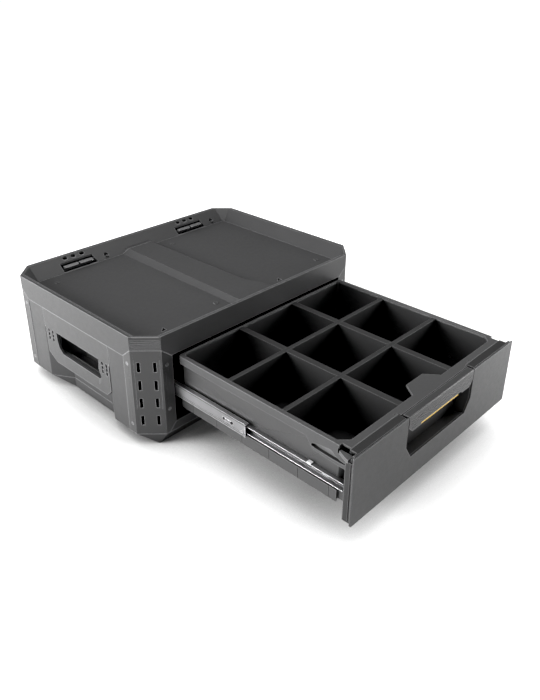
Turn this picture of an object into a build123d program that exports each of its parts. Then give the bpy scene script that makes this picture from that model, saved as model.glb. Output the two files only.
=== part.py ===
from build123d import *
import os
import math

# ---------------------------------------------------------------------------
# Socket organizer drawer box: a stackable moulded case with slotted steel
# corner brackets and one full-extension drawer, shown with the drawer open.
# Millimetres. +Z up, drawer opens along -Y, z = 0 is the plane it stands on,
# x = 0 is the centre plane, y = 0 is the middle of the case's depth.
# ---------------------------------------------------------------------------

# --- driving dimensions -----------------------------------------------------
W = 560.0              # overall width
D = 418.0              # case depth
FOOT_H = 23.0          # tapered stacking foot
RIM_Z = 217.0          # top of the rim
CH_F = 37.3            # plan chamfer, front corners
CH_B = 33.7            # plan chamfer, back corners
BAND_MID = 174.0       # lower edge of the top band between the corners
BAND_COR = 191.5       # lower edge of the top band at the corners
DECK_Z = 193.5         # recessed top deck
DECK_T = 3.0
BAND_TOP = 201.5       # raised centre band of the deck
WALL = 3.2

OPEN_HALF = 220.6      # half width of the drawer opening
SILL_Z = 40.0          # top of the front sill

TRAVEL = 382.0         # drawer travel
FRONT_Y = -593.9       # outer face of the drawer front, drawer open
FRONT_HALF = 224.3
FRONT_Z0 = 51.4
FRONT_Z1 = 172.7
TRAY_HALF = 207.5      # outer wall of the tray
TRAY_Y0 = -566.5       # outer front wall of the tray
TRAY_Y1 = -216.3       # outer back wall of the tray
TRAY_Z0 = 73.0
TRAY_WALL = 3.0
RIM_HALF = 214.0       # tray rim flange

SLIDE_Z = 105.5        # centre height of the slides
SLIDE_WALL = 223.5     # inner face of the carcass walls
SLIDE_L = 384.0
MID_TRAVEL = TRAVEL / 2.0

BRK_T = 1.6            # corner bracket sheet

HA = W / 2.0
HB = D / 2.0

parts = {}


# --- small helpers ----------------------------------------------------------
def area2(p):
    s = 0.0
    for i in range(len(p)):
        x0, y0 = p[i]
        x1, y1 = p[(i + 1) % len(p)]
        s += x0 * y1 - x1 * y0
    return s / 2.0


def ccw(p):
    return list(p) if area2(p) > 0 else list(reversed(p))


def face3(pts):
    return Face(Wire.make_polygon([Vector(*q) for q in pts], close=True))


def fix(s):
    if s.volume < 0:
        s = Solid(s.wrapped.Reversed())
    return s


def prism_z(p, z0, z1):
    p = ccw(p)
    return fix(Solid.extrude(face3([(x, y, z0) for x, y in p]), Vector(0, 0, z1 - z0)))


def prism_x(p, x0, x1):
    # p holds (y, z) pairs
    p = ccw(p)
    return fix(Solid.extrude(face3([(x0, y, z) for y, z in p]), Vector(x1 - x0, 0, 0)))


def prism_y(p, y0, y1):
    # p holds (x, z) pairs
    p = list(reversed(ccw(p)))
    return fix(Solid.extrude(face3([(x, y0, z) for x, z in p]), Vector(0, y1 - y0, 0)))


def bx(x0, x1, y0, y1, z0, z1):
    return Pos((x0 + x1) / 2, (y0 + y1) / 2, (z0 + z1) / 2) * Box(abs(x1 - x0), abs(y1 - y0), abs(z1 - z0))


def loft_z(p0, z0, p1, z1):
    w0 = Wire.make_polygon([Vector(x, y, z0) for x, y in p0], close=True)
    w1 = Wire.make_polygon([Vector(x, y, z1) for x, y in p1], close=True)
    return fix(Solid.make_loft([w0, w1], True))


def octo(a, y0, y1, cf, cb):
    # half width a, front y0, back y1, plan chamfers
    return [(-a + cf, y0), (a - cf, y0), (a, y0 + cf), (a, y1 - cb),
            (a - cb, y1), (-a + cb, y1), (-a, y1 - cb), (-a, y0 + cf)]


def octo_in(d):
    # case outline moved inward by d
    k = d * (math.sqrt(2) - 1) * math.sqrt(2) / math.sqrt(2)
    return octo(HA - d, -HB + d, HB - d, CH_F - d * (2 - math.sqrt(2)), CH_B - d * (2 - math.sqrt(2)))


def cyl(p0, p1, r):
    v = Vector(*p1) - Vector(*p0)
    pl = Plane(origin=Vector(*p0), z_dir=v)
    return pl * Pos(0, 0, v.length / 2) * Cylinder(r, v.length)


def flip(s):
    return s.mirror(Plane.YZ)


def group(items):
    out = []
    for it in items:
        for s in it.solids():
            out.append(s)
    return Compound(children=out)


def fuse(a, *rest):
    r = a
    for q in rest:
        r = r + q
    return r


def save(name, shape):
    sol = shape.solids()
    parts[name] = sol
    c = sol[0] if len(sol) == 1 else Compound(children=list(sol))
    export_step(c, "parts/%s.step" % name)


os.makedirs("parts", exist_ok=True)
for old in os.listdir("parts"):
    if old.endswith(".step"):
        os.remove("parts/" + old)

# plan outline of the hand recess in each side wall (left side)
REC_Y = 106.5
REC_IN = 64.0
REC_X = HA - 0.8        # 279.2
REC_D = 254.0           # back of the lower recess


def recess_plan(grow=0.0, back=REC_D):
    # trapezoid, open to the outside, grown by a wall thickness
    dx, dy = REC_X - REC_D, REC_Y - REC_IN
    ln = math.hypot(dx, dy)
    nx, ny = dy / ln, dx / ln
    # inner corners of the slanted ends after growth
    xb = back - grow
    # slanted line through (REC_X - g*nx, REC_Y + g*ny) with direction (-dx, -dy)
    x0, y0 = REC_X - grow * nx, REC_Y + grow * ny
    t = (x0 - xb) / dx
    yb = y0 - t * dy
    to = (x0 - (HA + 20.0)) / dx
    yo = y0 - to * dy
    return [(-(HA + 20.0), -yo), (-xb, -yb), (-xb, yb), (-(HA + 20.0), yo)]


# ===========================================================================
# CASE
# ===========================================================================

# base: tapered foot and an upstand that the walls are fixed to
foot_lo = octo(249.5, -194.0, 169.0, 0.6, 0.6)
body_o = octo_in(0.8)
foot = loft_z(foot_lo, 0.0, body_o, FOOT_H)
up_o = octo_in(5.1)
up_i = octo_in(7.6)
base = foot + prism_z(up_o, FOOT_H - 0.5, SILL_Z - 3.5)
inner_lo = octo(247.0, -191.6, 166.6, 3.0, 3.0)
hollow = loft_z(inner_lo, 3.5, octo_in(7.0), FOOT_H) + prism_z(up_i, FOOT_H - 0.01, 60.0)
rec_l = prism_z(recess_plan(0.0), -1.0, 60.0)
rec_r = flip(rec_l)
keep_l = prism_z(recess_plan(6.4), -1.0, 80.0)
keep_r = flip(keep_l)
up_cut_l = prism_z(recess_plan(3.3), FOOT_H - 0.0, 60.0)
hollow = hollow - keep_l - keep_r
base = base - hollow - rec_l - rec_r - up_cut_l - flip(up_cut_l)
# stiffening ribs on the floor
for xr in (-150.0, -50.0, 50.0, 150.0):
    base = base + bx(xr - 1.5, xr + 1.5, -185.0, 160.0, 3.4, 16.0)
for yr in (-120.0, -10.0, 100.0):
    base = base + bx(-200.0, 200.0, yr - 1.5, yr + 1.5, 3.4, 13.0)
save("base_tray", base)

# front sill rail: plate, flush face, ledge behind it and fillers under the flange corners
sill = bx(-241.5, 241.5, -207.1, -204.3, FOOT_H + 0.1, SILL_Z)
sill = sill + bx(-220.2, 220.2, -208.4, -207.0, FOOT_H + 0.1, SILL_Z)
for sx in (-1, 1):
    sill = sill + prism_y([(sx * 220.0, FOOT_H + 0.1), (sx * 220.0, SILL_Z), (sx * 225.8, 33.4), (sx * 233.2, 24.2), (sx * 238.0, FOOT_H + 0.1)],
                          -208.4, -207.0)
sill = sill + bx(-218.5, 218.5, -204.5, -197.5, SILL_Z - 3.2, SILL_Z)
save("front_sill", sill)

# side walls with the hand recess (left, then mirrored)
REC_UP = 136.0         # roof of the hand recess
lo_out = [(-278.1, -170.2), (-278.1, -151.2), (-REC_X, -151.2), (-REC_X, 154.9), (-278.1, 154.9), (-278.1, 174.0),
          (-275.2, 174.0), (-275.2, -170.2)]
wall_lo = prism_z(lo_out, FOOT_H + 0.1, BAND_MID - 0.9)
wall_lo = wall_lo + (prism_z(recess_plan(3.2), FOOT_H + 0.1, 78.0) & bx(-REC_X, -200, -160, 160, 0, 300))
wall_lo = wall_lo + (prism_z(recess_plan(3.2, 238.0), 74.8, REC_UP + 3.2) & bx(-REC_X, -200, -160, 160, 0, 300))
wall_lo = wall_lo - prism_z(recess_plan(0.0), FOOT_H - 1, 78.1) - prism_z(recess_plan(0.0, 238.0), 78.0, REC_UP)
# seat for the handle plate above the recess
wall_lo = wall_lo - bx(-HA - 2, -275.0, -REC_Y, REC_Y, REC_UP - 1.0, BAND_MID + 5)
wall_lo = wall_lo + bx(-275.0, -272.0, -112.0, 112.0, REC_UP, BAND_MID - 0.9)
save("side_wall_left", wall_lo)
save("side_wall_right", flip(wall_lo))

# back wall: plate with two framed fields and a middle stile
bk = prism_z([(-244.5, 206.5), (-226.3, 206.5), (-226.3, 208.2), (226.3, 208.2), (226.3, 206.5), (244.5, 206.5),
              (244.5, 204.4), (-244.5, 204.4)], FOOT_H + 0.1, BAND_MID - 0.9)
for sx in (-1, 1):
    fld = prism_y([(sx * 30, 50), (sx * 190, 50), (sx * 205, 65), (sx * 205, 140), (sx * 190, 155), (sx * 30, 155),
                   (sx * 18, 143), (sx * 18, 62)], 207.2, 212.0)
    bk = bk - fld
for zr in (70.0, 85.0, 100.0, 115.0, 130.0):
    for sx in (-1, 1):
        bk = bk + bx(sx * 40, sx * 185, 206.0, 208.0, zr - 1.6, zr + 1.6)
save("back_wall", bk)

# top band and rim: one ring with an inner slope down to the deck seat
ring = prism_z(octo(HA, -HB, HB, CH_F, CH_B), BAND_MID, RIM_Z)
rec_top = octo(271.0, -202.3, 200.0, 27.0, 24.0)
rec_bot = octo(248.5, -195.5, 171.0, 3.0, 3.0)
recess = loft_z(rec_bot, DECK_Z, rec_top, RIM_Z) + prism_z(rec_bot, DECK_Z - DECK_T, DECK_Z + 0.01)
recess = recess + prism_z(rec_top, RIM_Z - 0.01, RIM_Z + 5)
g = 3.2
big_top = octo(271.0 + g, -202.3 - g * 0.6, 200.0 + g, 27.0 + g * 0.6, 24.0 + g * 0.6)
big_bot = octo(248.5 + g, -195.5 - g, 171.0 + g, 3.0 + g * 0.6, 3.0 + g * 0.6)
big = loft_z(big_bot, DECK_Z - 1.5, big_top, RIM_Z + 0.5) + prism_z(big_bot, DECK_Z - DECK_T - 3.0, DECK_Z - 1.49)
cav = prism_z(octo_in(3.5), BAND_MID - 1, RIM_Z - 3.2) - big
ring = ring - recess - cav
# fine groove round the top face of the rim
ring = ring - (prism_z(octo(274.6, -205.4, 203.6, 28.5, 25.5), RIM_Z - 1.0, RIM_Z + 1)
               - prism_z(octo(273.4, -204.2, 202.4, 28.0, 25.0), RIM_Z - 2.0, RIM_Z + 2))
ring = ring - bx(-234.0, 234.0, -181.0, 157.0, DECK_Z - DECK_T - 4.0, DECK_Z)
# the band is lower between the corners: stepped ends
for sx in (-1, 1):
    for fy, c in ((-1, CH_F), (1, CH_B)):
        yv = fy * (HB - c)                       # side vertex
        xv = sx * (HA - c)                       # front or back vertex
        side = prism_x([(yv + fy * 0.6, BAND_COR), (yv, BAND_COR), (yv - fy * 21.0, BAND_MID), (yv - fy * 21.0, BAND_MID - 5),
                        (yv + fy * 0.6, BAND_MID - 5)], sx * (HA + 5), sx * (HA - 3.6))
        ring = ring - side
        xr = xv - sx * 20.7
        endc = prism_y([(xv + sx * 60, BAND_COR), (xv, BAND_COR), (xr, BAND_MID), (xr, BAND_MID - 5), (xv + sx * 60, BAND_MID - 5)],
                       yv, fy * (HB + 6))
        ring = ring - endc
        # grip grooves across the corner chamfer
        mx, my = sx * (HA - c / 2), fy * (HB - c / 2)
        ln = c * math.sqrt(2)
        pl = Plane(origin=(mx, my, 0), x_dir=(sx * 1, -fy * 1, 0), z_dir=(0, 0, 1))
        for zg in (195.0, 198.6, 202.2, 205.8, 209.4):
            ring = ring - pl * Pos(0, 0, zg) * Box(ln - 3.0, 1.8, 1.3)

# stacking latch pockets through the back slope, and vent holes behind them
LATCH_X = (-148.5, 148.5)
for lx in LATCH_X:
    ring = ring - bx(lx - 38.0, lx + 38.0, 172.2, 189.0, DECK_Z - 0.2, 209.5)
    ring = ring - prism_z([(lx + 37.9, 172.2), (lx + 42.0, 172.2), (lx + 37.9, 186.0)], DECK_Z - 0.2, 209.5)
    for hx in (-20.5, -1.5, 18.5):
        hexa = [(lx + hx + 6.5, 196.2), (lx + hx + 3.3, 199.4), (lx + hx - 3.3, 199.4), (lx + hx - 6.5, 196.2),
                (lx + hx - 3.3, 193.0), (lx + hx + 3.3, 193.0)]
        ring = ring - prism_z(hexa, 203.0, 222.0)
    # round pocket with a hollow post beside the latch
    cup = Pos(lx + 67.0, 179.0, 200.0) * Cylinder(6.8, 10.4) - recess
    ring = ring + cup - Pos(lx + 67.0, 179.0, 207.5) * Cylinder(5.2, 20.0)
    ring = ring + Pos(lx + 67.0, 175.5, 198.2) * Cylinder(3.4, 4.6)
    ring = ring - Pos(lx + 67.0, 175.5, 200.0) * Cylinder(1.6, 5.0)
# the raised centre band of the deck runs on up the back slope
ring = ring + prism_y([(-45.0, 193.6), (-30.5, BAND_TOP), (30.5, BAND_TOP), (45.0, 193.6)], 170.9, 182.5)
save("top_frame", ring)

# deck plate with the raised centre band and low bosses
dk = octo(248.2, -195.2, 170.7, 3.0, 3.0)
deck = prism_z(dk, DECK_Z - DECK_T, DECK_Z)
lo = [(-46.0, -195.0), (66.0, -195.0), (58.0, -160.0), (46.0, -118.0), (46.0, 170.5), (-46.0, 170.5)]
hi = [(-36.0, -195.0), (56.0, -195.0), (47.0, -155.0), (33.0, -120.0), (30.0, 170.5), (-30.0, 170.5)]
deck = deck + loft_z(lo, DECK_Z - 0.01, hi, BAND_TOP)
lo2 = [(-41.5, -191.0), (61.0, -191.0), (54.0, -162.0), (41.5, -122.0), (41.5, 166.5), (-41.5, 166.5)]
hi2 = [(-33.0, -191.0), (52.5, -191.0), (44.0, -157.0), (30.0, -123.0), (27.0, 166.5), (-27.0, 166.5)]
deck = deck - loft_z(lo2, DECK_Z - DECK_T - 0.5, hi2, BAND_TOP - 3.0)
for (px_, py_) in ((-223.5, 141.0), (-66.0, -147.0), (66.0, 141.0), (220.0, -147.0)):
    deck = deck + Pos(px_, py_, DECK_Z + 0.4) * Cone(5.6, 4.4, 1.8)
# three-cornered drain holes near the front edge
for (px_, py_) in ((-197.2, -158.5), (93.7, -159.0)):
    deck = deck - prism_z([(px_ - 7.0, py_ - 3.0), (px_ + 3.5, py_ - 3.0), (px_ + 3.5, py_ + 7.0)], DECK_Z - DECK_T - 1.0, DECK_Z + 1.0)
# stiffening ribs underneath
for xr in (-190.0, -130.0, 130.0, 190.0):
    deck = deck + bx(xr - 1.3, xr + 1.3, -178.0, 154.0, DECK_Z - 9.0, DECK_Z - DECK_T + 0.1)
save("top_deck", deck)

# corner brackets: bent slotted sheet over each corner
def bracket(fy, c, nm_slots=True):
    # built for x < 0
    o = 0.1
    def line(d):
        a, b = HA - d, HB - d
        cc = c - d * (2 - math.sqrt(2))
        return a, b, cc
    a0, b0, c0 = line(o)
    a1, b1, c1 = line(o + BRK_T)
    yv = fy * (HB - c)
    xe = -OPEN_HALF if fy < 0 else -(HA - c) + 19.5
    plan = [(-a0, yv - fy * 20.0), (-a0, fy * (b0 - c0)), (-(a0 - c0), fy * b0), (xe, fy * b0),
            (xe, fy * b1), (-(a1 - c1), fy * b1), (-a1, fy * (b1 - c1)), (-a1, yv - fy * 20.0)]
    s = prism_z(plan, FOOT_H + 1.0, BAND_COR - 0.4)
    # side flange top follows the step of the band
    s = s - prism_x([(yv, BAND_COR - 0.4), (yv - fy * 30, BAND_COR - 0.4 - 25.0), (yv - fy * 30, BAND_COR + 9), (yv, BAND_COR + 9)],
                    -HA - 5, -HA + 3.0)
    xv = -(HA - c)
    s = s - prism_y([(xv, BAND_COR - 0.4), (xv + 30, BAND_COR - 0.4 - 25.4), (xv + 30, BAND_COR + 9), (xv, BAND_COR + 9)],
                    fy * (HB + 5), fy * (HB - 3.0))
    # slanted lower corner of the front or back flange
    if fy < 0:
        cut = [(-246.0, FOOT_H - 2), (-240.0, FOOT_H + 1.0), (-234.0, FOOT_H + 2.0), (-226.6, FOOT_H + 11.3), (-220.0, FOOT_H + 18.0),
               (-200.0, FOOT_H + 18.0), (-200.0, FOOT_H - 2)]
    else:
        cut = [(xv + 0.5, FOOT_H - 2), (xv + 0.5, FOOT_H), (xv + 21.0, FOOT_H + 27.5), (xv + 30, FOOT_H - 2)]
    s = s - prism_y(cut, fy * (HB + 5), fy * (HB - 3.0))
    # slots in the chamfer plate
    mx, my = -(HA - c / 2), fy * (HB - c / 2)
    pl = Plane(origin=(mx, my, 0), x_dir=(1, fy * 1, 0), z_dir=(0, 0, 1))
    for u in (-13.7, 13.7):
        for zc in (159.0, 123.5, 88.0, 52.5):
            s = s - pl * Pos(u, 0, zc) * Box(5.4, 12.0, 19.0)
    # pressed lines beside the bends
    for u in (-21.6, 21.6):
        uu = u if abs(u) < c * math.sqrt(2) / 2 - 3 else math.copysign(c * math.sqrt(2) / 2 - 4.2, u)
        s = s - pl * Pos(uu, 0, 124.5) * Box(1.3, 0.9, 97.0)
    return s

fl = bracket(-1, CH_F)
bl = bracket(1, CH_B)
save("bracket_front_left", fl)
save("bracket_front_right", flip(fl))
save("bracket_back_left", bl)
save("bracket_back_right", flip(bl))

# bracket screws: pan heads, two on each side flange, two on each front or back flange
def screw(p, n, r=3.1, h=1.5, shank=1.5, length=8.0):
    p = Vector(*p)
    n = Vector(*n)
    pl = Plane(origin=p, z_dir=n)
    s = pl * Pos(0, 0, h / 2) * Cylinder(r, h)
    s = s + pl * Pos(0, 0, -length / 2) * Cylinder(shank, length + 0.02)
    s = s - pl * Pos(0, 0, h) * Box(3.6, 0.8, 1.2) - pl * Pos(0, 0, h) * Box(0.8, 3.6, 1.2)
    return s

def holes_for(s, pts, r):
    for p, n in pts:
        p = Vector(*p); n = Vector(*n)
        s = s - Plane(origin=p, z_dir=n) * Cylinder(r, 30.0)
    return s

SCREW_SET = {}
for sx in (-1, 1):
    for fy, c in ((-1, CH_F), (1, CH_B)):
        yv = fy * (HB - c) - fy * 10.0
        SCREW_SET[(sx, fy, "s")] = [((sx * (HA - 0.1), yv, z), (sx, 0, 0)) for z in (163.0, 42.0)]
        xv = sx * (HA - c) - sx * 9.5
        SCREW_SET[(sx, fy, "f")] = [((xv, fy * (HB - 0.1), z), (0, fy, 0)) for z in (160.0, 72.0)]

def drill(s, keys, r=1.55):
    for k in keys:
        for p, n in SCREW_SET[k]:
            s = s - Plane(origin=Vector(*p), z_dir=Vector(*n)) * Cylinder(r, 24.0)
    return s

# head seats lie in a shallow dimple so that nothing stands proud of the band
def heads(keys, r=3.0, h=1.0):
    out = []
    for k in keys:
        for p, n in SCREW_SET[k]:
            pv = Vector(*p) - Vector(*n) * 1.0
            pl = Plane(origin=pv, z_dir=Vector(*n))
            s = pl * Pos(0, 0, 0.5) * Cylinder(r, 1.0) + pl * Pos(0, 0, -4.0) * Cylinder(1.5, 8.02)
            s = s - pl * Pos(0, 0, 0.9) * Box(3.4, 0.8, 0.9) - pl * Pos(0, 0, 0.9) * Box(0.8, 3.4, 0.9)
            out.append(s)
    return out

def dimple(s, keys, r=3.2):
    for k in keys:
        for p, n in SCREW_SET[k]:
            pv = Vector(*p) - Vector(*n) * 0.5
            s = s - Plane(origin=pv, z_dir=Vector(*n)) * Cylinder(r, 1.0)
    return s

for nm, sx, fy in (("bracket_front_left", -1, -1), ("bracket_front_right", 1, -1), ("bracket_back_left", -1, 1), ("bracket_back_right", 1, 1)):
    s = parts[nm][0]
    ks = [(sx, fy, "s"), (sx, fy, "f")]
    save(nm, dimple(drill(s, ks), ks))
for nm, sx in (("side_wall_left", -1), ("side_wall_right", 1)):
    save(nm, drill(parts[nm][0], [(sx, -1, "s"), (sx, 1, "s")]))
save("back_wall", drill(parts["back_wall"][0], [(-1, 1, "f"), (1, 1, "f")]))
save("bracket_screws", group(heads(list(SCREW_SET.keys()))))

# front jambs: moulded uprights behind the front flanges, they carry the latch keepers
jl = bx(-241.4, -221.0, -207.1, -204.6, SILL_Z + 8.2, 173.5)
jl = jl + bx(-223.8, -221.0, -204.7, -187.5, SILL_Z + 8.2, 173.5)
jl = jl + bx(-241.4, -221.0, -190.5, -187.5, SILL_Z + 8.2, 173.5)
jl = jl - bx(-226.0, -220.0, -204.8, -186.0, 156.0, 169.0)
jl = drill(jl, [(-1, -1, "f")])
save("jamb_left", jl)
save("jamb_right", flip(jl))

# latch keepers: steel blocks in the jamb windows that the latch hooks catch behind
kl = bx(-223.8, -220.9, -204.55, -201.5, 156.1, 168.9)
save("latch_keepers", group([kl, flip(kl)]))

# side handles: face plate and a grip bar across the recess
hp = prism_x([(105.4, 173.0), (105.4, 133.6), (103.4, 132.0), (102.6, 79.5), (77.7, 64.5), (-90.0, 66.6), (-103.4, 79.6), (-103.4, 132.0),
              (-105.4, 133.6), (-105.4, 173.0)], -279.2, -275.2)
bar = prism_y([(-279.2, 67.5), (-276.5, 65.2), (-268.6, 65.2), (-265.8, 68.2), (-265.8, 89.0), (-268.6, 92.0), (-279.2, 92.0)], -88.0, 76.0)
hp = hp + bar
hp = hp + bx(-275.4, -268.8, -88.0, -76.0, 67.0, 133.4) + bx(-275.4, -268.8, 70.0, 84.0, 72.0, 133.4)
opening = prism_x([(66.5, 133.4), (64.9, 113.0), (60.3, 100.5), (49.5, 92.6), (-71.0, 92.6), (-76.5, 97.5), (-70.0, 112.0), (-73.0, 133.4)],
                  -290.0, -255.0)
hp = hp - opening
# short groove below the front end of the opening
hp = hp - prism_x([(-72.6, 91.5), (-71.4, 91.5), (-66.2, 80.0), (-67.4, 80.0)], -280.0, -278.2)
# behind the recess line the plate follows the slanted recess walls
hp = (hp & prism_z(recess_plan(-0.35), 60.0, REC_UP - 0.3)) + (hp & bx(-300, -200, -200, 200, REC_UP - 0.31, 200))
for yy in (92.6, 79.3, -82.6, -95.6):
    for zz in (129.2, 121.0, 112.8):
        hp = hp - Pos(-272.0, yy, zz) * Rot(0, 90, 0) * extrude(SlotOverall(7.6, 5.4, rotation=0), amount=20, both=True)
save("side_handle_left", hp)
save("side_handle_right", flip(hp))

# inner carcass walls that carry the slides
cw = prism_x([(-184.0, 3.6), (163.0, 3.6), (198.0, 24.0), (198.0, 187.3), (-184.0, 187.3)], -226.5, -SLIDE_WALL)
cw = cw + bx(-236.0, -226.4, -184.0, 150.0, 3.6, 6.6)
cw = cw + bx(-240.0, -226.4, -178.0, 155.0, 184.3, 187.3)
for yr in (-120.0, 20.0, 140.0):
    cw = cw + bx(-232.5, -226.4, yr - 1.5, yr + 1.5, 6.5, 184.4)
save("carcass_wall_left", cw)
save("carcass_wall_right", flip(cw))

# ---------------------------------------------------------------------------
# slides (left, then mirrored). u runs from the carcass wall towards the drawer
# ---------------------------------------------------------------------------
def ubox(u0, u1, y0, y1, dz0, dz1):
    return bx(-SLIDE_WALL + u0, -SLIDE_WALL + u1, y0, y1, SLIDE_Z + dz0, SLIDE_Z + dz1)

OUT_Y0, OUT_Y1 = -183.5, 197.0
outer = ubox(0.05, 1.25, OUT_Y0, OUT_Y1, -16.2, 16.2)
for s_ in (-1, 1):
    outer = outer + ubox(1.2, 9.6, OUT_Y0, OUT_Y1, s_ * 15.0, s_ * 16.2)
    outer = outer + ubox(8.8, 9.6, OUT_Y0, OUT_Y1, s_ * 14.4, s_ * 15.1)
for yy in (-150.0, -60.0, 60.0, 160.0):
    outer = outer - cyl((-SLIDE_WALL - 1, yy, SLIDE_Z), (-SLIDE_WALL + 3, yy, SLIDE_Z), 2.3)

MID_Y0 = -189.3 - MID_TRAVEL
MID_Y1 = MID_Y0 + SLIDE_L
mid = ubox(4.6, 5.8, MID_Y0, MID_Y1, -11.6, 11.6)
for s_ in (-1, 1):
    mid = mid + ubox(5.7, 12.2, MID_Y0, MID_Y1, s_ * 10.4, s_ * 11.6)
# rolled line along the web, window with a raised lance near the front end, pressed rivet, stiffened end
mid = mid - ubox(4.5, 4.95, MID_Y0 - 1, MID_Y1 + 1, -6.9, -6.0)
mid = mid - ubox(4.0, 6.4, -352.0, -328.0, -3.2, 2.2)
mid = mid + ubox(4.0, 4.8, -346.0, -334.0, -3.3, 2.3)
mid = mid + cyl((-SLIDE_WALL + 3.8, -372.5, 101.5), (-SLIDE_WALL + 4.7, -372.5, 101.5), 2.2)
mid = mid + ubox(4.0, 4.7, MID_Y0, MID_Y0 + 2.5, -11.6, 11.6)
mid = mid - ubox(4.0, 6.4, MID_Y0 + 300, MID_Y0 + 314, -3.6, 2.4)

INN_Y0 = -189.3 - TRAVEL
INN_Y1 = INN_Y0 + SLIDE_L
inn = ubox(14.8, 15.95, INN_Y0, INN_Y1, -7.0, 7.0)
for s_ in (-1, 1):
    inn = inn + ubox(7.6, 14.9, INN_Y0, INN_Y1, s_ * 5.8, s_ * 7.0)
for yy in (INN_Y0 + 24.0, INN_Y0 + 82.0, INN_Y0 + 200.0, INN_Y0 + 340.0):
    inn = inn - cyl((-SLIDE_WALL + 13, yy, SLIDE_Z), (-SLIDE_WALL + 18, yy, SLIDE_Z), 2.3)
for ya, yb in ((-540.0, -526.0), (-516.0, -508.0)):
    inn = inn - ubox(14.0, 17.0, ya, yb, -3.0, 3.0)

def retainer(y0, y1, uw0, uw1, u1, dzf0, dzf1, dzb, ub, rb, n):
    s = ubox(uw0, uw1, y0, y1, -dzf1, dzf1)
    for s_ in (-1, 1):
        s = s + ubox(uw1 - 0.05, u1, y0, y1, s_ * dzf0, s_ * dzf1)
    balls = []
    pitch = (y1 - y0 - 20.0) / (n - 1)
    for i in range(n):
        yy = y0 + 10.0 + pitch * i
        for s_ in (-1, 1):
            s = s - cyl((-SLIDE_WALL + ub, yy, SLIDE_Z + s_ * (dzf0 - 1.2)), (-SLIDE_WALL + ub, yy, SLIDE_Z + s_ * (dzf1 + 1.2)), rb + 0.2)
            balls.append(Pos(-SLIDE_WALL + ub, yy, SLIDE_Z + s_ * dzb) * Sphere(rb))
    s = s - ubox(uw0 - 1, uw1 + 0.5, y0 + 15, y1 - 15, -5.5, 5.5)
    return group([s] + balls)

cage_o = retainer(-180.0, -2.0, 2.6, 3.2, 9.2, 12.9, 13.5, 13.25, 7.0, 1.42, 6)
cage_i = retainer(-373.0, -195.0, 6.5, 7.1, 12.8, 8.4, 9.0, 8.7, 10.4, 1.42, 6)

for nm, s in (("slide_outer", outer), ("slide_middle", mid), ("slide_inner", inn), ("ball_cage_outer", cage_o), ("ball_cage_inner", cage_i)):
    save(nm + "_left", s)
    save(nm + "_right", group([flip(q) for q in s.solids()]))

# slide screws
def slide_screw(u_head, u_tip, yy, r=4.0):
    hd = cyl((-SLIDE_WALL + u_head[0], yy, SLIDE_Z), (-SLIDE_WALL + u_head[1], yy, SLIDE_Z), r)
    sh = cyl((-SLIDE_WALL + u_tip[0], yy, SLIDE_Z), (-SLIDE_WALL + u_tip[1], yy, SLIDE_Z), 2.2)
    return hd + sh
cs = [slide_screw((1.25, 2.25), (-9.0, 1.3), yy) for yy in (-150.0, -60.0, 60.0, 160.0)]
for nm, sgn in (("carcass_wall_left", -1), ("carcass_wall_right", 1)):
    s = parts[nm][0]
    for yy in (-150.0, -60.0, 60.0, 160.0):
        s = s - cyl((sgn * (SLIDE_WALL - 4), yy, SLIDE_Z), (sgn * (SLIDE_WALL + 12), yy, SLIDE_Z), 2.25)
    save(nm, s)
save("case_slide_screws", group(cs + [flip(q) for q in cs]))
DS_Y = (INN_Y0 + 24.0, INN_Y0 + 82.0, INN_Y0 + 200.0, INN_Y0 + 340.0)
ds = [slide_screw((13.6, 14.8), (14.7, 19.2), yy, 3.6) for yy in DS_Y]
save("drawer_slide_screws", group(ds + [flip(q) for q in ds]))

# ---------------------------------------------------------------------------
# stacking latches on the back slope: bar, torsion springs and pins
# ---------------------------------------------------------------------------
PIN_Y, PIN_Z = 184.5, 196.0
for nm, lx in (("stack_latch_left", LATCH_X[0]), ("stack_latch_right", LATCH_X[1])):
    lat = prism_x([(172.8, 202.6), (176.0, 205.6), (181.0, 204.6), (184.5, 199.6), (187.2, 198.6), (187.2, 193.4), (182.0, 193.4), (177.4, 199.0)],
                  lx - 34.0, lx + 31.0)
    lat = lat - bx(lx - 3.2, lx + 1.2, 170.0, 181.5, 190.0, 207.0)
    for k in (-1, 1):
        lat = lat - bx(lx + k * 14.0, lx + k * 22.0, 181.0, 190.0, 190.0, 201.0)
    lat = lat - cyl((lx - 50, PIN_Y, PIN_Z), (lx + 50, PIN_Y, PIN_Z), 1.55)
    save(nm, lat)
pins, sprs = [], []
for lx in LATCH_X:
    pins.append(cyl((lx - 41.0, PIN_Y, PIN_Z), (lx + 41.0, PIN_Y, PIN_Z), 1.5))
    for k in (-1, 1):
        for j in range(4):
            xc = lx + k * 18.0 - 2.4 + j * 1.6
            sprs.append(Pos(xc, PIN_Y, PIN_Z) * Rot(0, 90, 0) * Torus(2.55, 0.6))
save("latch_pins", group(pins))
save("latch_springs", group(sprs))
# pin bearings in the frame
rg = parts["top_frame"][0]
for lx in LATCH_X:
    for k in (-1, 1):
        rg = rg + bx(lx + k * 38.2, lx + k * 41.2, 180.8, 190.5, 192.0, 202.0)
    rg = rg - cyl((lx - 41.05, PIN_Y, PIN_Z), (lx + 41.05, PIN_Y, PIN_Z), 1.52)
save("top_frame", rg)

# ===========================================================================
# DRAWER (shown open)
# ===========================================================================
def tray_plan(hx, y0, y1, c, cb):
    return [(-hx + c, y0), (hx - c, y0), (hx, y0 + c), (hx, y1 - cb), (hx - cb, y1), (-hx + cb, y1), (-hx, y1 - cb), (-hx, y0 + c)]

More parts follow.
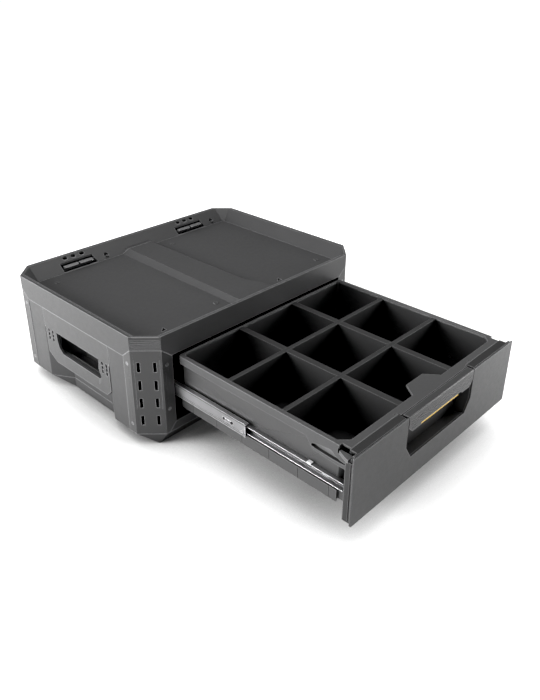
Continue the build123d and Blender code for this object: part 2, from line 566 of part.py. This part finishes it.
t_in = tray_plan(TRAY_HALF - TRAY_WALL, TRAY_Y0 + TRAY_WALL, TRAY_Y1 - TRAY_WALL, 12.0, 4.5)
t_out = tray_plan(TRAY_HALF, TRAY_Y0, TRAY_Y1, 10.2, 4.0)
RIM_Z0 = FRONT_Z1 - 3.0
tray = prism_z(t_out, TRAY_Z0, RIM_Z0 - 0.05) - prism_z(t_in, TRAY_Z0 + TRAY_WALL, FRONT_Z1 + 5)
for yy in DS_Y:
    for sx in (-1, 1):
        tray = tray - cyl((sx * 200.0, yy, SLIDE_Z), (sx * 212.0, yy, SLIDE_Z), 2.25)
# locating ribs for the dividers
X_DIV = (-70.0, 70.0)
Y_DIV = (-330.0, -447.5)
for xd in X_DIV:
    for k in (-1, 1):
        tray = tray + bx(xd + k * 6.4, xd + k * 8.0, TRAY_Y1 - TRAY_WALL - 2.6, TRAY_Y1 - TRAY_WALL + 0.1, 75.9, 158.0)
        tray = tray + bx(xd + k * 6.4, xd + k * 8.0, TRAY_Y0 + TRAY_WALL - 0.1, TRAY_Y0 + TRAY_WALL + 2.6, 75.9, 158.0)
for yd in Y_DIV:
    for k in (-1, 1):
        for sx in (-1, 1):
            tray = tray + bx(sx * 202.0, sx * 204.6, yd + k * 4.6, yd + k * 6.2, 75.9, 158.0)
# gussets under the front tab
for gx in (-20.0, 20.0):
    tray = tray + prism_x([(-563.6, 150.0), (-543.0, RIM_Z0 - 0.05), (-563.6, RIM_Z0 - 0.05)], gx - 1.2, gx + 1.2)
save("drawer_tray", tray)

# rim of the tray: flat flange, lip turned down along the sides, shoulders beside the front, tongue
def rim_plan(y0, d=0.0):
    return [(-RIM_HALF + d, y0), (RIM_HALF - d, y0), (RIM_HALF - d, -219.3), (RIM_HALF - 4.0 - d * 0.41, -215.3 - d), (-RIM_HALF + 4.0 + d * 0.41, -215.3 - d),
            (-RIM_HALF + d, -219.3)]

rim = prism_z(rim_plan(-575.8), RIM_Z0, FRONT_Z1) + bx(-95.0, 95.0, -580.3, -575.0, RIM_Z0, FRONT_Z1)
rim = rim + (prism_z(rim_plan(-552.0), 158.0, RIM_Z0 + 0.1) - prism_z(rim_plan(-560.0, 2.0), 150.0, RIM_Z0 + 0.2))
for sx in (-1, 1):
    sh = prism_x([(-496.0, 166.0), (-500.0, 158.0), (-512.0, 141.0), (-560.0, 137.0), (-575.8, 137.0), (-575.8, RIM_Z0 + 0.1), (-496.0, RIM_Z0 + 0.1)],
                 sx * (TRAY_HALF + 0.05), sx * RIM_HALF)
    pk = prism_x([(-509.3, 148.0), (-512.0, 151.0), (-518.0, 152.6), (-526.2, 154.6), (-544.3, 157.3), (-548.5, 155.7), (-553.5, 151.2), (-562.0, 147.5),
                  (-573.0, 146.2), (-573.0, 145.0), (-562.9, 143.5), (-550.4, 143.4), (-535.9, 143.9), (-517.3, 144.6), (-511.0, 145.8)],
                 sx * (RIM_HALF + 1), sx * 208.1)
    rim = rim + (sh - pk)
rim = rim - prism_z(tray_plan(TRAY_HALF + 0.05, TRAY_Y0 - 0.05, TRAY_Y1 + 0.05, 10.2, 4.0), 100.0, RIM_Z0)
rim = rim - prism_z(t_in, 100.0, FRONT_Z1 + 5)
rim = rim + prism_z([(-39.5, -562.0), (-23.0, -540.0), (22.5, -540.0), (40.0, -562.0), (40.0, -566.0), (-39.5, -566.0)], RIM_Z0, FRONT_Z1)
for sx in (-1, 1):
    # inner step along both sides
    rim = rim - bx(sx * 204.4, sx * 207.4, -551.0, -226.0, FRONT_Z1 - 1.2, FRONT_Z1 + 2)
    # front corners: room for the latch hooks, open at the top and the side
    rim = rim - bx(sx * 207.55, sx * 230.0, -577.0, -560.0, 158.6, 175.0)
    rim = rim - bx(sx * 207.55, sx * 230.0, -590.0, -558.0, 158.6, 167.2)
for mx_, my_ in ((-99.6, -572.3), (109.0, -572.6)):
    rim = rim - bx(mx_ - 3.2, mx_ + 3.2, my_ - 0.6, my_ + 0.6, FRONT_Z1 - 0.8, FRONT_Z1 + 1)
save("drawer_rim", rim)

# dividers: inverted channels, halved together where they cross
ZD0, ZD1, ZH = 76.1, 171.0, 123.0
for nm, xd in (("divider_long_left", X_DIV[0]), ("divider_long_right", X_DIV[1])):
    s = bx(xd - 6.1, xd + 6.1, TRAY_Y0 + TRAY_WALL + 0.2, TRAY_Y1 - TRAY_WALL - 0.2, ZD0, ZD1)
    s = s - bx(xd - 4.3, xd + 4.3, TRAY_Y0, TRAY_Y1, ZD0 - 1, ZD1 - 2.2)
    for yd in Y_DIV:
        s = s - bx(xd - 8, xd + 8, yd - 4.45, yd + 4.45, ZH, ZD1 + 1)
    save(nm, s)
for nm, yd in (("divider_cross_rear", Y_DIV[0]), ("divider_cross_front", Y_DIV[1])):
    s = bx(-204.3, 204.3, yd - 4.25, yd + 4.25, ZD0, ZD1)
    s = s - bx(-210, 210, yd - 2.5, yd + 2.5, ZD0 - 1, ZD1 - 2.2)
    for xd in X_DIV:
        s = s - bx(xd - 6.3, xd + 6.3, yd - 6, yd + 6, ZD0 - 1, ZH + 0.3)
    save(nm, s)

# drawer front: backing frame
FB = -590.6            # face of the backing frame
CB = -591.4            # back of the cover's edge
fr = prism_y([(-219.8, FRONT_Z1), (-219.8, 53.9), (-217.6, 51.7), (217.6, 51.7), (219.8, 53.9), (219.8, FRONT_Z1)], FB, -575.9)
fr = fr - prism_y([(-216.8, 169.7), (-216.8, 57.0), (-215.2, 55.2), (215.2, 55.2), (216.8, 57.0), (216.8, 169.7)], FB - 1, -578.9)
fr = fr - bx(-97.0, 97.0, FB - 2, -570.0, 84.0, FRONT_Z1 + 5)
for sx in (-1, 1):
    fr = fr - bx(sx * 206.5, sx * 230.0, -588.0, -555.0, 158.6, 167.2)
    fr = fr - bx(sx * 211.0, sx * 230.0, -587.5, -575.0, 158.6, 175.0)
    # shadow groove down each end, just behind the cover
    fr = fr - bx(sx * 218.5, sx * 221.0, -587.2, -585.4, 56.0, 157.0)
    # vertical webs beside the handle opening
    fr = fr + bx(sx * 97.0, sx * 100.0, FB, -578.8, 84.0, 169.8) - bx(sx * 96, sx * 101, -587.2, -581.4, 159.6, 166.0)
    fr = fr + bx(sx * 158.0, sx * 161.0, FB, -578.8, 55.0, 150.0)
save("drawer_front_frame", fr)

# drawer front: cover plate with the handle opening, and a flat boss behind it that seats on the frame
HOLE = [(-93.8, FRONT_Z1 + 3), (-93.8, 118.0), (-78.5, 94.0), (78.5, 94.0), (93.8, 118.0), (93.8, FRONT_Z1 + 3)]
cv = prism_y([(-FRONT_HALF, FRONT_Z1), (-FRONT_HALF, 54.4), (-221.3, FRONT_Z0), (221.3, FRONT_Z0), (FRONT_HALF, 54.4), (FRONT_HALF, FRONT_Z1)],
             FRONT_Y, CB)
cv = cv + bx(-217.0, 217.0, CB - 0.1, FB - 0.05, 58.0, 168.0)
cv = cv - prism_y(HOLE, FRONT_Y - 3, FB + 2)
save("drawer_front_cover", cv)

# scoop behind the handle opening
sc_o = prism_y([(-96.6, 169.0), (-96.6, 117.0), (-80.5, 84.3), (80.5, 84.3), (96.6, 117.0), (96.6, 169.0)], FB + 0.1, -567.2)
sc_i = prism_y([(-93.8, 175.0), (-93.8, 118.0), (-78.5, 88.0), (78.5, 88.0), (93.8, 118.0), (93.8, 175.0)], FB - 4, -569.8)
sc = sc_o - sc_i
ramp = prism_x([(FB + 0.1, 84.4), (-569.0, 84.4), (-569.0, 88.3), (FB + 0.1, 93.9)], -78.0, 78.0)
sc = sc + ramp
for sx in (-1, 1):
    sc = sc - bx(sx * 90.0, sx * 100.0, -587.2, -581.4, 159.4, 166.2)
    # bearing pads for the lever pin
sc = sc - bx(-97, 97, -582.0, -566.0, 167.5, 172)
save("handle_scoop", sc)

# grip: hooked profile that the fingers pull
gp = prism_x([(FRONT_Y, 143.6), (FRONT_Y, 171.2), (-592.4, FRONT_Z1), (-581.5, FRONT_Z1), (-581.5, 169.9), (-590.6, 169.9), (-590.6, 143.6)], -91.8, 91.8)
for zz in (151.0, 156.5, 162.0):
    gp = gp - bx(-88.0, 88.0, FRONT_Y - 1, FRONT_Y + 0.7, zz, zz + 1.0)
for sx in (-1, 1):
    gp = gp + prism_x([(-590.8, 143.6), (-590.8, 170.0), (-581.5, 170.0), (-581.5, 166.0), (-586.0, 150.0), (-588.0, 143.6)], sx * 89.2, sx * 91.8)
    # locating lug towards the side of the scoop
    gp = gp + bx(sx * 91.7, sx * 93.78, -589.5, -586.5, 150.5, 156.5)
    # lower end corners cut back
    gp = gp - prism_y([(sx * 82.0, 143.0), (sx * 82.0, 143.6), (sx * 92.0, 153.0), (sx * 95.0, 153.0), (sx * 95.0, 143.0)], -600.0, -570.0)
gp = gp - bx(-95.0, 95.0, -587.4, -581.3, 159.4, 166.2)
# the lower edge is raised over the lever
gp = gp - prism_y([(-60.0, 143.0), (-60.0, 143.6), (-57.0, 147.2), (57.0, 147.2), (60.0, 143.6), (60.0, 143.0)], -600.0, -580.0)
save("handle_grip", gp)

# release lever under the grip, with ears on a pin
LEV_Y, LEV_Z = -573.0, 146.0
lev = bx(-58.5, 58.5, -588.6, -571.3, 140.5, 143.4)
lev = lev + bx(-58.5, 58.5, -588.6, -586.2, 136.8, 143.4)
for sx in (-1, 1):
    ear = prism_x([(-577.5, 143.3), (-575.6, 147.3), (-574.2, 148.6), (-571.8, 148.6), (-570.5, 147.2), (-570.4, 145.0), (-571.3, 141.5), (-577.0, 141.5)],
                  sx * 52.0, sx * 55.5)
    lev = lev + ear
    lev = lev - cyl((sx * 48.0, LEV_Y, LEV_Z), (sx * 60.0, LEV_Y, LEV_Z), 1.55)
save("release_lever", lev)
pin = cyl((-61.0, LEV_Y, LEV_Z), (61.0, LEV_Y, LEV_Z), 1.5)
save("lever_pin", pin)
sc = parts["handle_scoop"][0]
for sx in (-1, 1):
    sc = sc + bx(sx * 59.2, sx * 62.6, -576.6, -569.6, 142.6, 149.8)
sc = sc - cyl((-61.05, LEV_Y, LEV_Z), (61.05, LEV_Y, LEV_Z), 1.52)
save("handle_scoop", sc)
sprs = []
for j in range(5):
    sprs.append(Pos(40.0 + j * 1.6, LEV_Y, LEV_Z) * Rot(0, 90, 0) * Torus(1.98, 0.4))
save("lever_spring", group(sprs))

# latch bolts: a slanted hook at each front corner on a flat rod to the lever
bolt = prism_z([(-223.6, -583.0), (-223.6, -579.5), (-216.0, -562.0), (-212.0, -562.0), (-212.0, -583.0)], 160.0, 165.4)
bolt = bolt + bx(-212.5, -64.0, -585.8, -582.9, 160.6, 164.9) + bx(-218.6, -212.0, -585.8, -582.5, 160.6, 164.9)
save("latch_bolt_left", bolt)
save("latch_bolt_right", flip(bolt))
# return springs of the bolts, round the rods
bs = []
for j in range(7):
    bs.append(Pos(-130.0 + j * 3.2, -584.35, 162.75) * Rot(0, 90, 0) * Torus(3.1, 0.5))
save("bolt_springs", group(bs + [flip(q) for q in bs]))

# skirts below the slides, with tile seams and an end block
sk = prism_y([(-207.6, 91.2), (-211.6, 91.2), (-211.6, 71.6), (-213.5, 71.6), (-213.5, 93.0), (-207.6, 93.0)], -559.0, -219.5)
for yy in (-247.5, -307.0, -366.5, -426.0, -485.5, -545.0):
    sk = sk - bx(-214.5, -212.7, yy - 0.6, yy + 0.6, 70.0, 94.0)
for yy in (-558.9, -500.0, -440.0, -380.0, -320.0, -260.0, -222.0):
    sk = sk + bx(-211.7, -207.6, yy, yy + 2.0, 76.0, 91.3)
sk = sk + bx(-209.8, -207.6, -575.0, -558.0, 76.5, 92.0)
save("skirt_left", sk)
save("skirt_right", flip(sk))

# nylon stops on the upper flanges of the drawer members
ncl = [ubox(8.2, 14.6, -511.5, -503.5, 7.05, 8.6)]
save("slide_clips", group(ncl + [flip(q) for q in ncl]))

# studs that hold the front to the tray
st = []
for xx in (-185.0, -125.0, 125.0, 185.0):
    for zz in (96.0, 148.0):
        b = cyl((xx, -575.8, zz), (xx, -566.6, zz), 5.0)
        st.append(b)
save("front_studs", group(st))

tot = 0
for k in sorted(parts):
    v = sum(s.volume for s in parts[k])
    tot += v
    print("%-24s %3d solids %10.0f mm3" % (k, len(parts[k]), v))
print(len(parts), "nodes", round(tot / 1000.0), "cm3")
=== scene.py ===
import bpy, bmesh, math
from mathutils import Vector, Matrix

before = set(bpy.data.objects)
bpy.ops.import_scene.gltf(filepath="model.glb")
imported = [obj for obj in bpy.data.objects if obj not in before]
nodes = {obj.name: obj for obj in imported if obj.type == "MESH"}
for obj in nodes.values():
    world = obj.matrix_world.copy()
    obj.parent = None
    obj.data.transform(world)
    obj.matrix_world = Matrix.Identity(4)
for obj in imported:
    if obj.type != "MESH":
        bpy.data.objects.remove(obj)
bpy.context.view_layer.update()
scene = bpy.context.scene
coll = scene.collection
MM = 0.001

# ---------------------------------------------------------------------------
# camera: the photograph's viewing angle
# ---------------------------------------------------------------------------
cam_data = bpy.data.cameras.new("camera")
cam = bpy.data.objects.new("camera", cam_data)
coll.objects.link(cam)
scene.camera = cam
YAW, PITCH, ROLL = -0.8093662, 0.4581354, 0.0055777
back = Vector((math.sin(YAW) * math.cos(PITCH), -math.cos(YAW) * math.cos(PITCH), math.sin(PITCH)))
right0 = Vector((math.cos(YAW), math.sin(YAW), 0.0))
up0 = back.cross(right0)
right = math.cos(ROLL) * right0 + math.sin(ROLL) * up0
up = -math.sin(ROLL) * right0 + math.cos(ROLL) * up0
rot = Matrix((right, up, back)).transposed()
cam.matrix_world = Matrix.Translation(Vector((-0.84875, -1.03212, 0.78219))) @ rot.to_4x4()
F_PX, W_PX, H_PX, CX, CY = 710.33, 540.0, 700.0, 270.0, 299.6
cam_data.sensor_fit = "AUTO"
cam_data.sensor_width = 36.0
cam_data.lens = F_PX * 36.0 / max(W_PX, H_PX)
cam_data.shift_x = 0.0
cam_data.shift_y = (CY - H_PX / 2) / max(W_PX, H_PX)
cam_data.clip_start = 0.02
cam_data.clip_end = 50.0

# ---------------------------------------------------------------------------
# node helpers for materials
# ---------------------------------------------------------------------------
class Mat:
    def __init__(self, name):
        self.m = bpy.data.materials.new(name)
        self.m.use_nodes = True
        self.t = self.m.node_tree
        self.t.nodes.clear()
        self.out = self.t.nodes.new("ShaderNodeOutputMaterial")
        self.b = self.t.nodes.new("ShaderNodeBsdfPrincipled")
        self.t.links.new(self.b.outputs[0], self.out.inputs[0])
        self.co = self.t.nodes.new("ShaderNodeTexCoord")

    def n(self, kind, **kw):
        nd = self.t.nodes.new(kind)
        for k, v in kw.items():
            setattr(nd, k, v)
        return nd

    def link(self, a, b):
        self.t.links.new(a, b)

    def noise(self, scale, detail=2.0, rough=0.5, stretch=None, dist=0.0):
        nd = self.n("ShaderNodeTexNoise")
        nd.inputs["Scale"].default_value = scale
        nd.inputs["Detail"].default_value = detail
        nd.inputs["Roughness"].default_value = rough
        nd.inputs["Distortion"].default_value = dist
        if stretch:
            mp = self.n("ShaderNodeMapping")
            mp.inputs["Scale"].default_value = stretch
            self.link(self.co.outputs["Object"], mp.inputs["Vector"])
            self.link(mp.outputs[0], nd.inputs["Vector"])
        else:
            self.link(self.co.outputs["Object"], nd.inputs["Vector"])
        return nd.outputs["Fac"]

    def voronoi(self, scale, feature="F1"):
        nd = self.n("ShaderNodeTexVoronoi", feature=feature)
        nd.inputs["Scale"].default_value = scale
        self.link(self.co.outputs["Object"], nd.inputs["Vector"])
        return nd.outputs["Distance"]

    def ramp(self, fac, stops):
        nd = self.n("ShaderNodeValToRGB")
        el = nd.color_ramp.elements
        while len(el) < len(stops):
            el.new(0.5)
        for e, (p, c) in zip(el, stops):
            e.position = p
            e.color = c if len(c) == 4 else (*c, 1.0)
        self.link(fac, nd.inputs["Fac"])
        return nd.outputs["Color"]

    def rng(self, fac, a, b, c, d):
        nd = self.n("ShaderNodeMapRange")
        nd.inputs["From Min"].default_value = a
        nd.inputs["From Max"].default_value = b
        nd.inputs["To Min"].default_value = c
        nd.inputs["To Max"].default_value = d
        self.link(fac, nd.inputs["Value"])
        return nd.outputs["Result"]

    def math(self, op, a, b):
        nd = self.n("ShaderNodeMath", operation=op)
        for i, v in enumerate((a, b)):
            if isinstance(v, (int, float)):
                nd.inputs[i].default_value = v
            else:
                self.link(v, nd.inputs[i])
        return nd.outputs[0]

    def occl(self, dist, inside, samples=6):
        nd = self.n("ShaderNodeAmbientOcclusion", samples=samples, inside=inside, only_local=inside)
        nd.inputs["Distance"].default_value = dist
        return nd.outputs["AO"]

    def painted_edge_light_and_crease_shade(self, col, edge_d, edge_k, deep_d=0.02, deep=0.30):
        """Painted highlight: the colour is made lighter along convex edges; painted shade: the colour is made darker
        in creases, gaps and recesses. Both come from the shape itself, found by ambient occlusion. Returns colour and
        edge mask.
        """
        e = self.rng(self.math("SUBTRACT", 1.0, self.occl(edge_d, True)), 0.08, 0.42, 0.0, 1.0)
        d = self.rng(self.occl(deep_d, False), 0.22, 0.86, deep, 1.0)
        f = self.math("MULTIPLY", d, self.math("ADD", 1.0, self.math("MULTIPLY", e, edge_k)))
        vm = self.n("ShaderNodeVectorMath", operation="SCALE")
        self.link(col, vm.inputs[0])
        self.link(f, vm.inputs["Scale"])
        return vm.outputs[0], e

    def bump(self, *layers):
        prev = None
        for h, strength, dist in layers:
            nd = self.n("ShaderNodeBump")
            nd.inputs["Strength"].default_value = strength
            nd.inputs["Distance"].default_value = dist
            self.link(h, nd.inputs["Height"])
            if prev is not None:
                self.link(prev, nd.inputs["Normal"])
            prev = nd.outputs["Normal"]
        self.link(prev, self.b.inputs["Normal"])


def grey(v, t=(1.0, 1.0, 1.0)):
    return (v * t[0], v * t[1], v * t[2], 1.0)


def plastic(name, base, rough=0.5, spread=0.12, spec=0.5, grain=1.0, tint=(1.0, 1.0, 1.02), scuff=0.0, edge=2.0, edge_d=0.0014, deep=0.30):
    """Moulded plastic: spark-eroded grain, slow tone drift, flow clouds in the gloss and faint scuffs."""
    m = Mat(name)
    slow = m.noise(9.0, 3.0, 0.55)
    fine = m.noise(1500.0, 2.0, 0.6)
    mid = m.noise(120.0, 3.0, 0.6)
    mix = m.math("ADD", m.math("MULTIPLY", slow, 0.7), m.math("MULTIPLY", fine, 0.3))
    col = m.ramp(mix, [(0.3, grey(base * (1 - spread), tint)), (0.7, grey(base * (1 + spread), tint))])
    # painted highlight along convex edges and painted shade in creases and gaps
    col, e = m.painted_edge_light_and_crease_shade(col, edge_d, edge, deep=deep)
    m.link(col, m.b.inputs["Base Color"])
    r = m.math("ADD", m.rng(mid, 0.3, 0.7, rough - 0.03, rough + 0.03), m.rng(slow, 0.3, 0.7, -0.02, 0.02))
    r = m.math("ADD", r, m.math("MULTIPLY", e, -0.06))
    if scuff > 0:
        s = m.noise(60.0, 6.0, 0.75, stretch=(1.0, 0.12, 1.0), dist=1.2)
        r = m.math("ADD", r, m.rng(s, 0.62, 0.72, 0.0, scuff))
    m.link(r, m.b.inputs["Roughness"])
    m.b.inputs["Specular IOR Level"].default_value = spec
    m.bump((m.voronoi(900.0), 0.16 * grain, 0.0003), (fine, 0.10 * grain, 0.0002), (slow, 0.05, 0.002))
    return m.m


def steel(name, base, rough=0.25, along="y", streak=0.5, metallic=1.0, tint=(1.0, 1.0, 1.02), edge=1.2, shade_lines_z=None):
    """Rolled steel: drawn lines along its length and oil bloom."""
    m = Mat(name)
    st = {"y": (400.0, 3.0, 400.0), "x": (3.0, 400.0, 400.0), "z": (400.0, 400.0, 3.0)}[along]
    lines = m.noise(1.0, 3.0, 0.6, stretch=st)
    oil = m.noise(14.0, 4.0, 0.6)
    col = m.ramp(m.math("ADD", m.math("MULTIPLY", lines, 0.5), m.math("MULTIPLY", oil, 0.5)),
                 [(0.32, grey(base * (1 - 0.35 * streak), tint)), (0.68, grey(base * (1 + 0.35 * streak), tint))])
    if shade_lines_z:
        # painted shade: dark bands along the rolled lines of the web, where the flanges and grooves shade it
        sz = m.n("ShaderNodeSeparateXYZ")
        m.link(m.co.outputs["Object"], sz.inputs[0])
        keep = None
        for zc, half in shade_lines_z:
            d = m.math("ABSOLUTE", m.math("SUBTRACT", sz.outputs["Z"], zc * MM), 0.0)
            k = m.rng(d, half * MM * 0.7, half * MM * 1.3, 0.06, 1.0)
            keep = k if keep is None else m.math("MULTIPLY", keep, k)
        vm = m.n("ShaderNodeVectorMath", operation="SCALE")
        m.link(col, vm.inputs[0])
        m.link(keep, vm.inputs["Scale"])
        col = vm.outputs[0]
    # painted highlight along convex edges and painted shade in creases and gaps
    col, e = m.painted_edge_light_and_crease_shade(col, 0.0008, edge, deep_d=0.008, deep=0.12)
    m.link(col, m.b.inputs["Base Color"])
    m.b.inputs["Metallic"].default_value = metallic
    m.link(m.math("ADD", m.rng(lines, 0.3, 0.7, rough - 0.04, rough + 0.05), m.rng(oil, 0.35, 0.65, -0.03, 0.03)), m.b.inputs["Roughness"])
    m.bump((lines, 0.10, 0.0001), (oil, 0.03, 0.002))
    return m.m


M = {}
# edge: strength of the painted highlight along convex edges; deep: darkest value of the painted shade in creases
M["case"] = plastic("case_plastic", 0.028, 0.42, spread=0.08, scuff=0.05, spec=0.30, edge=4.0, deep=0.22)
M["handle"] = plastic("handle_plastic", 0.029, 0.40, spread=0.08, scuff=0.05, spec=0.34, edge=4.0, deep=0.16)
M["deck"] = plastic("deck_plastic", 0.032, 0.60, spread=0.08, grain=1.3, spec=0.22, edge=4.0, deep=0.2)
# painted shade: the tray and skirt plastic is a darker copy of the rim's black plastic, with deep crease shade, so
# the compartments read dark
M["drawer"] = plastic("drawer_plastic", 0.020, 0.36, spread=0.06, grain=0.4, spec=0.55, deep=0.08)
M["rim"] = plastic("rim_plastic", 0.034, 0.52, spread=0.08, spec=0.34, edge=2.2, deep=0.2)
M["front"] = plastic("front_plastic", 0.030, 0.42, spread=0.10, spec=0.22, scuff=0.05, edge=3.5)
# strong painted highlight along the frame's convex edges
M["frame"] = plastic("frame_plastic", 0.008, 0.42, spread=0.10, spec=0.35, edge=14.0)
# painted shade: the dividers get a still darker copy of the same black plastic, so the compartments read dark
M["divider"] = plastic("divider_plastic", 0.014, 0.50, spec=0.30, edge=3.0, deep=0.1)
M["bracket"] = plastic("bracket_coat", 0.022, 0.33, spread=0.08, grain=1.5, spec=0.45, edge=9.0, edge_d=0.0013)
M["screw"] = steel("screw_steel", 0.17, 0.36, "z", 0.3)
M["slide"] = steel("slide_steel", 0.34, 0.26, "y", 0.8)
# web heights of the painted shade bands under the flanges and in the rolled lines
M["slide_mid"] = steel("slide_web_steel", 0.26, 0.34, "y", 0.5, shade_lines_z=((115.2, 0.6), (99.1, 0.6), (95.8, 0.4)), edge=3.0)
M["slide_in"] = steel("slide_rail_steel", 0.22, 0.38, "y", 0.3, shade_lines_z=((109.9, 0.6), (103.4, 0.9)), edge=3.5)
M["cage"] = steel("cage_steel", 0.30, 0.25, "y", 0.4)
M["pin"] = steel("pin_steel", 0.5, 0.18, "x", 0.2)
M["spring"] = steel("spring_steel", 0.32, 0.28, "x", 0.2)
M["latch"] = plastic("latch_plastic", 0.085, 0.36, edge=1.5)
M["hook"] = plastic("hook_plastic", 0.045, 0.34, grain=0.6)
M["nylon"] = plastic("nylon", 0.60, 0.42, spread=0.04, grain=0.5, edge=0.1, deep=0.7)
M["lever"] = plastic("lever_paint", 0.5, 0.3, spread=0.08, tint=(1.0, 0.62, 0.04), grain=0.4, edge=0.2, deep=0.6)


def pick(n):
    if n == "bracket_screws" or n.endswith("_screws") or n == "front_studs":
        return "screw"
    if n.startswith("bracket_"):
        return "bracket"
    if n == "top_deck":
        return "deck"
    if n == "slide_clips":
        return "nylon"
    if n.startswith("slide_middle"):
        return "slide_mid"
    if n.startswith("slide_inner"):
        return "slide_in"
    if n.startswith("slide_") or n == "latch_keepers":
        return "slide"
    if n.startswith("ball_cage"):
        return "cage"
    if n in ("latch_pins", "lever_pin"):
        return "pin"
    if n.endswith("spring") or n.endswith("springs"):
        return "spring"
    if n.startswith("latch_bolt"):
        return "hook"
    if n.startswith("stack_latch"):
        return "latch"
    if n == "release_lever":
        return "lever"
    if n.startswith("divider"):
        return "divider"
    if n == "drawer_front_frame":
        return "frame"
    if n.startswith("side_handle"):
        return "handle"
    if n.startswith("drawer_front") or n.startswith("handle_"):
        return "front"
    if n == "drawer_rim":
        return "rim"
    if n == "drawer_tray" or n.startswith("skirt"):
        return "drawer"
    return "case"


# small rounded edges, as moulded and bent parts have them
EDGE = {"case": 0.6, "deck": 0.5, "drawer": 0.5, "rim": 0.6, "front": 0.7, "divider": 0.5, "bracket": 0.35, "latch": 0.4,
        "hook": 0.35, "lever": 0.35, "slide": 0.2, "slide_mid": 0.2, "slide_in": 0.2, "frame": 0.6, "handle": 0.6}

for name, ob in nodes.items():
    kind = pick(name)
    mat = M[kind]
    if not ob.material_slots:
        ob.data.materials.append(mat)
    for s in ob.material_slots:
        s.material = mat
    if kind in EDGE:
        w = ob.modifiers.new("weld", "WELD")
        w.merge_threshold = 0.00001
        b = ob.modifiers.new("round", "BEVEL")
        b.width = EDGE[kind] * MM
        b.segments = 2
        b.limit_method = "ANGLE"
        b.angle_limit = math.radians(28.0)
        b.use_clamp_overlap = True
        b.harden_normals = False
        wn = ob.modifiers.new("normals", "WEIGHTED_NORMAL")
        wn.keep_sharp = False
        wn.weight = 80

# ---------------------------------------------------------------------------
# floor, backdrop and light
# ---------------------------------------------------------------------------
def plane(name, size, z=0.0):
    me = bpy.data.meshes.new(name)
    s = size / 2
    me.from_pydata([(-s, -s, z), (s, -s, z), (s, s, z), (-s, s, z)], [], [(0, 1, 2, 3)])
    ob = bpy.data.objects.new(name, me)
    coll.objects.link(ob)
    return ob


floor = plane("floor", 40.0, -0.0002)
fm = Mat("floor_paper")
fm.b.inputs["Base Color"].default_value = (0.80, 0.80, 0.80, 1)
fm.b.inputs["Roughness"].default_value = 0.9
fm.b.inputs["Specular IOR Level"].default_value = 0.0
fm.b.inputs["Emission Color"].default_value = (1.0, 1.0, 1.0, 1)
# painted light: the paper glows by its own emission, stronger further out, and the glow fades near the object into a
# painted soft contact shadow
sp = fm.n("ShaderNodeVectorMath", operation="DISTANCE")
sp.inputs[1].default_value = (0.0, -0.18, 0.0)
fm.link(fm.co.outputs["Object"], sp.inputs[0])
fm.link(fm.rng(sp.outputs["Value"], 0.32, 1.1, 0.02, 0.85), fm.b.inputs["Emission Strength"])
# a deeper contact shadow right under the foot and the drawer
near = fm.rng(fm.occl(0.14, False, 8), 0.15, 0.80, 0.10, 0.80)
fm.link(near, fm.b.inputs["Base Color"])
floor.data.materials.append(fm.m)

# sky of the studio: bright near the horizon, dim overhead
world = bpy.data.worlds.new("studio")
scene.world = world
world.use_nodes = True
wt = world.node_tree
bg = wt.nodes["Background"]
tc = wt.nodes.new("ShaderNodeTexCoord")
sep = wt.nodes.new("ShaderNodeSeparateXYZ")
wt.links.new(tc.outputs["Generated"], sep.inputs[0])
wr = wt.nodes.new("ShaderNodeValToRGB")
els = wr.color_ramp.elements
for p_, v_ in ((0.0, 0.95), (0.12, 0.82), (0.24, 0.36), (0.75, 0.17), (1.0, 0.15)):
    if p_ == 0.0:
        e_ = els[0]
    elif p_ == 1.0:
        e_ = els[len(els) - 1]
    else:
        e_ = els.new(p_)
    e_.position = p_
    e_.color = (v_, v_, v_, 1.0)
wt.links.new(sep.outputs["Z"], wr.inputs["Fac"])
wt.links.new(wr.outputs["Color"], bg.inputs["Color"])
bg.inputs["Strength"].default_value = 1.0


def area(name, loc, target, size, power, size_y=None):
    ld = bpy.data.lights.new(name, "AREA")
    ld.shape = "RECTANGLE" if size_y else "SQUARE"
    ld.size = size
    if size_y:
        ld.size_y = size_y
    ld.energy = power
    ob = bpy.data.objects.new(name, ld)
    coll.objects.link(ob)
    ob.location = loc
    d = Vector(target) - Vector(loc)
    ob.rotation_euler = d.to_track_quat("-Z", "Y").to_euler()
    return ob


area("key_left", (-2.3, 1.15, 0.85), (-0.1, 0.0, 0.12), 1.5, 195, 1.3)
area("front_right", (0.85, -1.05, 0.35), (0.25, -0.59, 0.1), 0.4, 10, 0.4)
area("top_soft", (0.1, -0.1, 2.8), (0, -0.15, 0.0), 3.2, 95)

scene.view_settings.view_transform = "Standard"
scene.view_settings.look = "None"
scene.view_settings.exposure = 0.0
scene.view_settings.gamma = 1.0
# deep blacks, as the photograph has them
scene.view_settings.use_curve_mapping = True
scene.view_settings.curve_mapping.black_level = (0.004, 0.004, 0.004)
scene.view_settings.curve_mapping.update()
